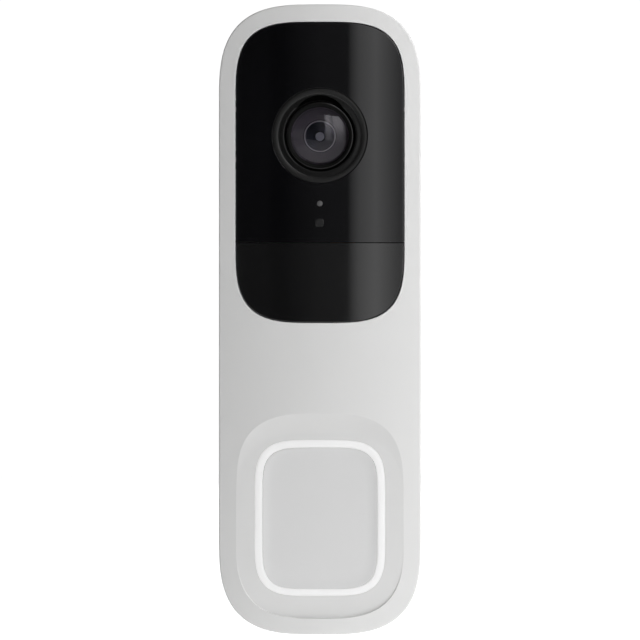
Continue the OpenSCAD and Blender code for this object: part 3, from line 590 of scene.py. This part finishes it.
RELIEF_R, RELIEF_UP, RELIEF_D = 6.45, 3.2, 22.0
bm = turned([(0, RELIEF_D), (RELIEF_R, RELIEF_D), (RELIEF_R, 27.0), (0, 27.0), (0, RELIEF_D)],
            LENS_Z + RELIEF_UP, 96)
bmesh.ops.scale(bm, vec=(0.001,) * 3, verts=bm.verts[:])
bmesh.ops.recalc_face_normals(bm, faces=bm.faces[:])
cutter_mesh = bpy.data.meshes.new("relief_cutter")
bm.to_mesh(cutter_mesh)
bm.free()
cutter = bpy.data.objects.new("relief_cutter", cutter_mesh)
bpy.context.scene.collection.objects.link(cutter)
cut = bezel.modifiers.new("relief", "BOOLEAN")
cut.operation = "DIFFERENCE"
cut.object = cutter
cut.solver = "EXACT"
cut_mesh = bpy.data.meshes.new_from_object(bezel.evaluated_get(bpy.context.evaluated_depsgraph_get()))
bezel.modifiers.clear()
bezel.data = cut_mesh
cut_mesh.shade_smooth()
cut_mesh.set_sharp_from_angle(angle=math.radians(40))
cut_mesh.materials.clear()
cut_mesh.materials.append(bezel_satin)
cut_mesh.materials.append(bezel_gloss)
cut_mesh.materials.append(painted_shade_black)
# The well's walls, its inner edge and the relief's floor take the painted shade; the rest is the satin lip
# or the polished band.
for face in cut_mesh.polygons:
    out = 1000 * math.hypot(face.center.x, face.center.z - LENS_Z / 1000)
    well_painted_shade = -1000 * face.center.y < WELL_TOP_D or out < WELL_EDGE_R
    face.material_index = 2 if well_painted_shade else int(out < LIP_R)
bpy.data.objects.remove(cutter)


# ------------------------------------------------------------ barrel and lens
# The barrel is black-anodised aluminium with a flat face. It holds the coated
# front element; behind it a dark cone, a smaller element with a ground, light
# edge, and a little convex element behind the stop.

barrel_black = finish("barrel_black", (0.003, 0.003, 0.003), 0.34, grain=0.15, relief=0.0005, shine=0.12)
cone_plum = finish("cone_plum", (0.030, 0.023, 0.034), 0.5, grain=0.2, relief=0.0008)
bm = turned([
    (3.2, 12.0), (6.0, 12.0), (6.0, 18.9), (8.3, 18.9),
    (8.3, 23.1), (8.27, 23.35), (8.2, 23.5), (8.1, 23.6),
    (7.95, 23.66), (7.8, 23.69), (7.6, 23.7), (6.95, 23.7), (6.88, 23.67), (6.86, 23.6),
    (6.86, 20.9), (6.7, 20.75), (3.95, 19.95), (3.8, 19.85), (3.75, 19.75), (3.75, 13.0), (3.2, 13.0),
    (3.2, 12.0)
], LENS_Z, 128)
barrel = place_piece("lens_barrel_body", bm, barrel_black, sharp=35)
barrel.data.materials.append(cone_plum)
barrel.data.materials.append(painted_shade_black)
barrel.data.materials.append(finish("barrel_edge", (0.004, 0.004, 0.004), 0.2, grain=0.15, relief=0.0003))
BARREL_FACE_R = (6.95, 7.6)     # the flat face, between the mouth's lip and the polished outer edge
CONE_R, CONE_FOOT_D = (3.9, 6.75), 19.5
for face in barrel.data.polygons:
    out = 1000 * math.hypot(face.center.x, face.center.z - LENS_Z / 1000)
    in_cone = CONE_R[0] < out < CONE_R[1] and -1000 * face.center.y > CONE_FOOT_D
    # The mouth's lip takes the painted shade, a near-black matt finish, so that it shows no highlight.
    lip_painted_shade = 6.8 < out < BARREL_FACE_R[0]
    face.material_index = 3 if out > BARREL_FACE_R[1] else 2 if lip_painted_shade else int(in_cone)
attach(barrel, "housing")
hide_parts("lens_barrel")

GLASS_R = 6.84
DOME_R = 18.0
APEX_D = 24.3


def dome(radius, curve, apex, steps=20):
    """The profile of a domed face, from its middle out to a radius."""
    reach = math.asin(radius / curve)
    return [(curve * math.sin(reach * i / steps), apex - curve * (1 - math.cos(reach * i / steps)))
            for i in range(steps + 1)]


def coated_glass(name, tone, mirror):
    """A clear glass whose coating leaves that much of its reflection."""
    material = finish(name, tone, 0.01, relief=0.00001, drift=0.01, uneven=0.003)
    shader = material.node_tree.nodes["Principled BSDF"]
    shader.inputs["Transmission Weight"].default_value = 1.0
    shader.inputs["IOR"].default_value = 1.5
    shader.inputs["Specular Tint"].default_value = [m for m in mirror] + [1]
    return material


front_glass = coated_glass("front_glass", (0.93, 0.91, 0.95), (0.84, 0.82, 0.87))
rear_face_glass = coated_glass("rear_face_glass", (0.93, 0.91, 0.95), (0.05, 0.04, 0.07))
hollow = [(r, depth - 1.6) for r, depth in dome(6.2, 12.0, APEX_D)]
bm = turned(dome(GLASS_R, DOME_R, APEX_D) + [(GLASS_R, 21.3), (6.3, 21.2)] + hollow[::-1], LENS_Z, 96)
lens = place_piece("front_lens_element", bm, front_glass, sharp=30)
lens.data.materials.append(rear_face_glass)
for face in lens.data.polygons:
    face.material_index = int(-face.center.y < 0.0229)
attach(lens, "housing")
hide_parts("front_lens")

inner_glass = coated_glass("inner_glass", (0.80, 0.84, 0.90), (0.10, 0.10, 0.13))
bm = turned(dome(3.5, 9.0, 20.2) + [(3.5, 18.6), (0, 18.4)], LENS_Z, 64)
inner = place_piece("inner_lens_element", bm, inner_glass, sharp=30)
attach(inner, "housing")

ground_edge = finish("ground_glass_edge", (0.28, 0.27, 0.29), 0.5, grain=0.1, relief=0.001)
bm = turned([
    (3.5, 18.6), (3.74, 18.6), (3.74, 19.98), (3.7, 20.06), (3.56, 20.06), (3.5, 19.98), (3.5, 18.6)
], LENS_Z, 96)
inner_edge = place_piece("inner_lens_edge", bm, ground_edge, sharp=35)
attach(inner_edge, "housing")
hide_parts("inner_lens")

# The stop's face fills the barrel behind the inner element, round a small hole.
STOP_R = 0.97
stop_black = finish("stop_black", (0.011, 0.012, 0.015), 0.5, grain=0.2, relief=0.0005, shine=0.1)
bm = turned([
    (STOP_R, 17.2), (STOP_R + 0.1, 17.1), (3.6, 17.0), (3.6, 17.9), (STOP_R + 0.25, 17.9),
    (STOP_R, 17.6), (STOP_R, 17.2)
], LENS_Z, 64)
stop = place_piece("aperture_stop_plate", bm, stop_black, sharp=35)
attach(stop, "housing")
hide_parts("aperture_stop")

rear_glass = finish("rear_glass", (0.80, 0.75, 0.74), 0.06, relief=0.0001, drift=0.1, uneven=0.02)
bm = turned(dome(3.5, 6.0, 16.95) + [(3.5, 14.2), (3.3, 14.0), (0, 14.0)], LENS_Z, 64)
rear = place_piece("rear_lens_element", bm, rear_glass, sharp=35)
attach(rear, "housing")
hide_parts("rear_lens")


# ---------------------------------------------------------------- light ring
# The ring is milky acrylic, lit from behind by the lamps on the button's board.
# It stands flush with the field, with a polished, barely rounded edge.

RING_INNER = (27.4, 33.6, 12.1, 4.0, -47.2)
milky = finish("milky_acrylic", (0.93, 0.93, 0.93), 0.30, relief=0.0004, drift=0.003, uneven=0.006)
milky_shader = milky.node_tree.nodes["Principled BSDF"]
milky_shader.inputs["Subsurface Weight"].default_value = 0.35
milky_shader.inputs["Subsurface Radius"].default_value = (0.001, 0.001, 0.001)
milky_shader.inputs["Subsurface Scale"].default_value = 1.0
# It glows a little, as it does when its lamps are on.
milky_shader.inputs["Emission Color"].default_value = (1, 1, 1, 1)
milky_shader.inputs["Emission Strength"].default_value = 0.14

RING_EDGE = 0.06
RING_BACK = 18.7
FLANGE = (20.85, 21.85, 1.5)
bm = new_mesh()
start = first_outline(bm, RING_INNER, RING_BACK)
edge = next_outline(bm, start, RING_OUTER, RING_BACK)
edge = next_outline(bm, edge, RING_OUTER, FLANGE[0])
edge = next_outline(bm, edge, inset(RING_OUTER, -FLANGE[2]), FLANGE[0])
edge = next_outline(bm, edge, inset(RING_OUTER, -FLANGE[2]), FLANGE[1])
edge = next_outline(bm, edge, RING_OUTER, FLANGE[1])
edge = next_outline(bm, edge, RING_OUTER, FIELD_D - RING_EDGE)
edge = rounded(edge, bm, RING_OUTER, FIELD_D - RING_EDGE, RING_EDGE, 4)
for i in range(5):
    a = math.pi / 2 * i / 4
    edge = next_outline(
        bm, edge, inset(RING_INNER, -RING_EDGE * (1 - math.sin(a))),
        FIELD_D - RING_EDGE * (1 - math.cos(a))
    )
edge = next_outline(bm, edge, RING_INNER, RING_BACK)
for v in bm.verts:
    if -v.co.y > FIELD_D - 1:
        v.co.y += sag(v.co.x, FIELD_R)
ring = place_piece("light_ring_guide", bm, milky, sharp=50)
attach(ring, "housing")
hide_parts("light_ring")


# ---------------------------------------------------------------- bell button
# The cap is moulded in the body's white plastic, a touch smoother. Its rim rolls
# over a small radius and then sinks in a soft shoulder to a flat, dished face.

CAP_GAP = 0.04
CAP = inset(RING_INNER, CAP_GAP)
CAP_RIM_D = 24.70
CAP_EDGE = 0.06
DISH, DISH_W = 0.20, 2.6
cap_plastic = finish("cap_white", (0.785, 0.785, 0.785), 0.40, relief=0.0016, drift=0.006, uneven=0.03)
bm = new_mesh()
start = first_outline(bm, CAP, 20.0)
edge = next_outline(bm, start, CAP, CAP_RIM_D - CAP_EDGE)
edge = rounded(edge, bm, CAP, CAP_RIM_D - CAP_EDGE, CAP_EDGE, 3)
for t in (0.12, 0.25, 0.38, 0.52, 0.66, 0.8, 0.9, 1.0):
    edge = next_outline(
        bm, edge, inset(CAP, CAP_EDGE + DISH_W * t), CAP_RIM_D - DISH * (1 - (1 - t) ** 2)
    )
face_between(bm, edge)
inner = next_outline(bm, start, inset(CAP, 1.2), 20.0)
inner = next_outline(bm, inner, inset(CAP, 1.2), 22.4)
face_between(bm, inner)
for v in bm.verts:
    if -v.co.y > 24.25:
        v.co.y += sag(v.co.x, FIELD_R)


def cap_way_out(co):
    floor_d = CAP_RIM_D - DISH - sag(co.x, FIELD_R)
    return crown_normal(co.x, FIELD_R) if abs(-co.y - floor_d) < 0.002 else None


cap = place_piece("bell_button_cap", bm, cap_plastic, sharp=40, normals=cap_way_out)
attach(cap, "button")

# The cap's tabs hook behind the ring, and its post presses the switch.
bm = bmesh.new()
for side in (-1, 1):
    made = bmesh.ops.create_cube(bm, size=1)["verts"]
    bmesh.ops.scale(bm, vec=(2.1, 0.9, 10.0), verts=made)
    bmesh.ops.translate(bm, vec=(side * 14.0, -20.45, RING_INNER[4]), verts=made)
bmesh.ops.bevel(bm, geom=bm.edges[:], offset=0.15, segments=2, profile=0.5, affect="EDGES", material=-1)
tabs = place_piece("bell_button_tabs", bm, cap_plastic, sharp=40)
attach(tabs, "button")

post = place_piece(
    "bell_button_post",
    turned([(0, 19.65), (1.8, 19.65), (2.0, 19.85), (2.0, 22.5), (0, 22.5)], RING_INNER[4], 48),
    cap_plastic, sharp=40)
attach(post, "button")
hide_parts("button_cap")


# -------------------------------------------------------------------- studio
# A pale floor just under the unit that glows most in a strip in front and behind,
# a white surround, a tall softbox in front to the right whose edge shows in the
# window, and broad lamps round the unit.

scene = bpy.context.scene
scene.view_settings.view_transform = "Standard"
scene.view_settings.look = "None"

low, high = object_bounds()
bm = bmesh.new()
bmesh.ops.create_circle(bm, segments=96, radius=1.6, cap_ends=True)
floor_mesh = bpy.data.meshes.new("floor")
bm.to_mesh(floor_mesh)
bm.free()
floor = bpy.data.objects.new("floor", floor_mesh)
floor.location = (0, 0, low.z - 0.0004)
scene.collection.objects.link(floor)
floor_pale = finish("floor_pale", (0.92, 0.92, 0.92), 0.7, grain=2.0, relief=0.01, drift=0.004)
floor_shader = floor_pale.node_tree.nodes["Principled BSDF"]
floor_shader.inputs["Emission Color"].default_value = (1, 1, 1, 1)
FLOOR_GLOW = 0.40
tree = floor_pale.node_tree
away = tree.nodes.new("ShaderNodeVectorMath")
away.operation = "LENGTH"
strip = tree.nodes.new("ShaderNodeMapping")
strip.inputs["Scale"].default_value = (2.4, 1, 1)
tree.links.new(tree.nodes.new("ShaderNodeTexCoord").outputs["Object"], strip.inputs["Vector"])
tree.links.new(strip.outputs["Vector"], away.inputs[0])
fade = tree.nodes.new("ShaderNodeMapRange")
fade.interpolation_type = "SMOOTHSTEP"
fade.inputs["From Min"].default_value = 0.05
fade.inputs["From Max"].default_value = 1.0
fade.inputs["To Min"].default_value = FLOOR_GLOW
fade.inputs["To Max"].default_value = 0.15 * FLOOR_GLOW
tree.links.new(away.outputs["Value"], fade.inputs["Value"])
seen = tree.nodes.new("ShaderNodeMix")
seen.inputs["B"].default_value = 0.93
tree.links.new(tree.nodes.new("ShaderNodeLightPath").outputs["Is Camera Ray"], seen.inputs["Factor"])
tree.links.new(fade.outputs["Result"], seen.inputs["A"])
tree.links.new(seen.outputs["Result"], floor_shader.inputs["Emission Strength"])
floor_mesh.materials.append(floor_pale)

world = bpy.data.worlds.new("studio")
world.use_nodes = True
scene.world = world
sky = world.node_tree
ray = sky.nodes.new("ShaderNodeLightPath")
dim = sky.nodes["Background"]
dim.inputs["Color"].default_value = (1, 1, 1, 1)
dim.inputs["Strength"].default_value = 0.02
white = sky.nodes.new("ShaderNodeBackground")
white.inputs["Color"].default_value = (1, 1, 1, 1)
white.inputs["Strength"].default_value = 1.05
either = sky.nodes.new("ShaderNodeMixShader")
sky.links.new(ray.outputs["Is Camera Ray"], either.inputs["Fac"])
sky.links.new(dim.outputs["Background"], either.inputs[1])
sky.links.new(white.outputs["Background"], either.inputs[2])
sky.links.new(either.outputs["Shader"], sky.nodes["World Output"].inputs["Surface"])


def lamp(name, azimuth, elevation, away, width, height, power):
    """A soft rectangular lamp, aimed at the unit. Azimuth 0 is in front, and grows to the right."""
    a, e = math.radians(azimuth), math.radians(elevation)
    way = Vector((math.sin(a) * math.cos(e), -math.cos(a) * math.cos(e), math.sin(e)))
    light = bpy.data.lights.new(name, "AREA")
    light.shape = "RECTANGLE"
    light.size, light.size_y, light.energy = width, height, power
    made = bpy.data.objects.new(name, light)
    made.location = way * away
    made.rotation_euler = (-way).to_track_quat("-Z", "Y").to_euler()
    made.visible_camera = False
    scene.collection.objects.link(made)
    return made


lamp("key_right", 70, 0, 1.25, 0.75, 0.6, 6.1)
lamp("key_high_right", 72, 33, 1.25, 0.75, 0.6, 7.6)
lamp("top", 0, 70, 1.25, 0.75, 0.6, 0.8)
lamp("back_left", -140, 15, 1.3, 0.7, 0.8, 3.2)
lamp("back_right", 172, 25, 1.3, 0.7, 0.8, 2.2)


def glow_panel(name, sides, ends, across, up, strength, away=1.25):
    """A flat glowing panel in front of the unit, between azimuths and elevations in degrees.

    Its glow runs through levels at azimuths, times levels at elevations.
    """
    def reach(angle):
        return math.tan(math.radians(angle)) * away

    bm = bmesh.new()
    bmesh.ops.create_grid(bm, x_segments=1, y_segments=1, size=0.5)
    for v in bm.verts:
        v.co = (reach(sides[v.co.x > 0]), -away, reach(ends[v.co.y > 0]) + LENS_Z / 1000)
    mesh = bpy.data.meshes.new(name)
    bm.to_mesh(mesh)
    bm.free()
    made = bpy.data.objects.new(name, mesh)
    scene.collection.objects.link(made)
    made.visible_camera = False
    glow = bpy.data.materials.new(name + "_glow")
    glow.use_nodes = True
    tree = glow.node_tree
    tree.nodes.remove(tree.nodes["Principled BSDF"])
    apart = tree.nodes.new("ShaderNodeSeparateXYZ")
    tree.links.new(tree.nodes.new("ShaderNodeTexCoord").outputs["Object"], apart.inputs["Vector"])
    levels = []
    for axis, stops, span, middle in (("X", across, sides, 0), ("Z", up, ends, LENS_Z / 1000)):
        place = tree.nodes.new("ShaderNodeMapRange")
        place.inputs["From Min"].default_value = reach(span[0]) + middle
        place.inputs["From Max"].default_value = reach(span[1]) + middle
        tree.links.new(apart.outputs[axis], place.inputs["Value"])
        ramp = tree.nodes.new("ShaderNodeValToRGB")
        marks = ramp.color_ramp.elements
        for angle, level in stops[1:-1]:
            at = (reach(angle) - reach(span[0])) / (reach(span[1]) - reach(span[0]))
            marks.new(at).color = (level, level, level, 1)
        for end in (0, -1):
            level = stops[end][1]
            marks[end].color = (level, level, level, 1)
        tree.links.new(place.outputs["Result"], ramp.inputs["Fac"])
        levels.append(ramp.outputs["Color"])
    both = tree.nodes.new("ShaderNodeMix")
    both.data_type = "RGBA"
    both.blend_type = "MULTIPLY"
    both.inputs["Factor"].default_value = 1.0
    tree.links.new(levels[0], both.inputs["A"])
    tree.links.new(levels[1], both.inputs["B"])
    emit = tree.nodes.new("ShaderNodeEmission")
    emit.inputs["Strength"].default_value = strength
    tree.links.new(both.outputs["Result"], emit.inputs["Color"])
    tree.links.new(emit.outputs["Emission"], tree.nodes["Material Output"].inputs["Surface"])
    mesh.materials.append(glow)


# The softbox's sharp left edge is what steps down the middle of the black window.
glow_panel(
    "softbox", (-12, 41), (-8.5, 34),
    [(-12, 0.0), (-9, 0.0), (0, 0.026), (6.8, 0.03), (7.5, 0.13), (9.5, 0.3), (13.5, 0.44), (19.5, 0.16),
     (22, 0.38), (34, 0.38), (41, 0.0)],
    [(-8.5, 0.4), (3, 0.42), (10, 0.6), (20, 0.9), (34, 0.9)], 8.2
)
glow_panel(
    "left_panel", (-62, -20), (-30, 14),
    [(-62, 0.8), (-30, 1.0), (-20, 0.8)], [(-30, 1.0), (14, 1.0)], 0.32
)

CAMERA_AWAY = 1.6
SIGHT = 0.1519     # metres across the picture at the unit's edge
camera_data = bpy.data.cameras.new("camera")
camera_data.sensor_width = 36.0
camera_data.lens = 36.0 * (CAMERA_AWAY - 0.0245) / SIGHT
camera_data.clip_start = 0.05
camera = bpy.data.objects.new("camera", camera_data)
camera.location = (0.00002, -CAMERA_AWAY, -0.00012)
camera.rotation_euler = (math.radians(90), 0, 0)
scene.collection.objects.link(camera)
scene.camera = camera
